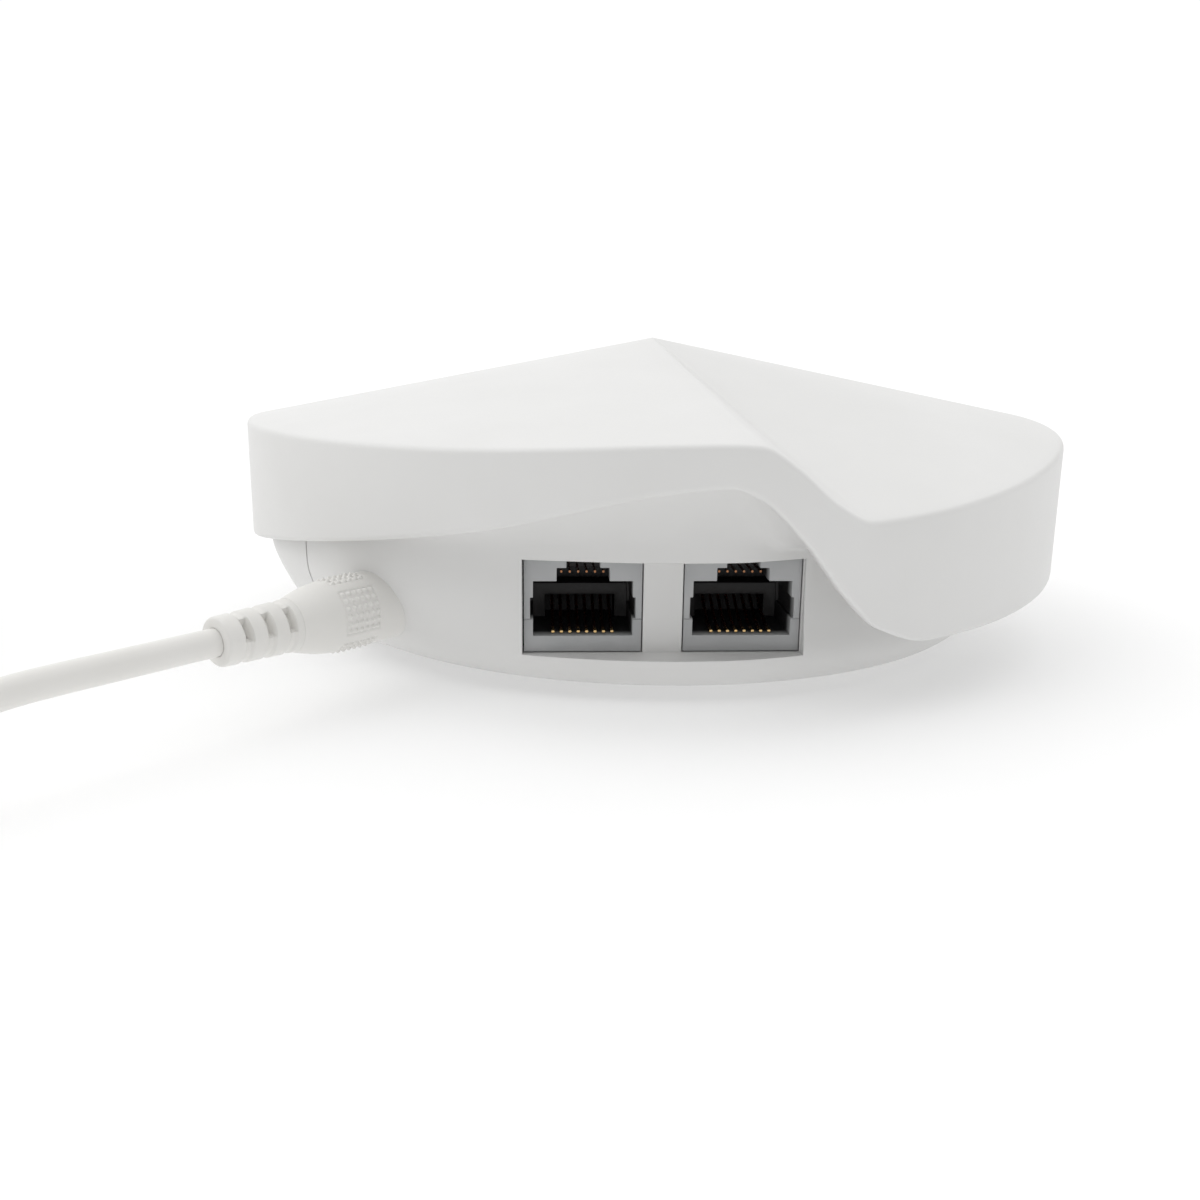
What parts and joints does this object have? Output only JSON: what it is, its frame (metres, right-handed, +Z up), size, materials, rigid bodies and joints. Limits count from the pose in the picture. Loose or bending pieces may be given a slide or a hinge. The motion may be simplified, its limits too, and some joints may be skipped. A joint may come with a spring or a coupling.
{
  "type": "wireless router",
  "caption": "Round white mesh router with a swirled top, network jacks in a flat recess and a plugged-in power lead.",
  "frame": {"origin": "middle of the case on the surface that the feet stand on", "axes": "+Z up through the apex of the top; -Y out of the network jacks; +X to the right when facing them"},
  "size_m": [0.2104, 0.1784, 0.0424],
  "materials": {
    "case_white": "fine satin, white moulded plastic",
    "foot_rubber": "matte light grey rubber",
    "screw_steel": "zinc-plated steel",
    "board_green": "solder-masked circuit board",
    "jack_grey": "matte grey moulded plastic",
    "contact_gold": "gold-plated spring wire",
    "part_black": "matte black moulded plastic",
    "nickel": "nickel-plated metal",
    "spreader_aluminium": "plain aluminium",
    "thermal_pad": "soft filled silicone",
    "lamp_clear": "clear moulded plastic",
    "lead_white": "satin warm white PVC"
  },
  "bodies": {
    "router": {"top_cover": "case_white", "lower_housing": "case_white", "port_panel": "case_white", "foot_1": "foot_rubber", "foot_2": "foot_rubber", "foot_3": "foot_rubber", "foot_4": "foot_rubber", "housing_screw_1": "screw_steel", "housing_screw_2": "screw_steel", "housing_screw_3": "screw_steel", "housing_screw_4": "screw_steel", "main_board": "board_green", "rj45_jack_left": "jack_grey", "rj45_jack_right": "jack_grey", "rj45_contacts_left": "contact_gold", "rj45_contacts_right": "contact_gold", "jack_transformer_left": "part_black", "jack_transformer_right": "part_black", "power_socket": "part_black", "processor": "part_black", "flash_chip": "part_black", "inductor": "part_black", "reset_switch": "part_black", "power_socket_pin": "nickel", "shield_can_left": "nickel", "shield_can_right": "nickel", "antenna_1": "nickel", "antenna_2": "nickel", "antenna_3": "nickel", "antenna_4": "nickel", "heat_spreader": "spreader_aluminium", "capacitor_1": "spreader_aluminium", "capacitor_2": "spreader_aluminium", "thermal_pad": "thermal_pad", "status_led": "lamp_clear", "light_pipe": "lamp_clear"},
    "reset_button": {"reset_button": "part_black"},
    "power_lead": {"plug_body": "lead_white", "plug_barrel": "nickel", "plug_strain_relief": "lead_white", "power_cord": "lead_white", "cord_coil": "lead_white", "cord_tie": "part_black", "cord_tail": "lead_white", "adapter_strain_relief": "lead_white", "adapter_case": "lead_white", "adapter_cover": "lead_white", "adapter_blade_left": "nickel", "adapter_blade_right": "nickel"}
  },
  "joints": [
    {"name": "reset_press", "type": "slide", "parent": "router", "child": "reset_button", "axis": [0, 0, 1], "range_m": [0, 0.0003], "stiffness_N_per_m": 1500, "springref_m": -0.0006},
    {"name": "plug_withdraw", "type": "slide", "parent": "router", "child": "power_lead", "axis": [-0.673, -0.7396, 0], "range_m": [0, 0.012]}
  ]
}
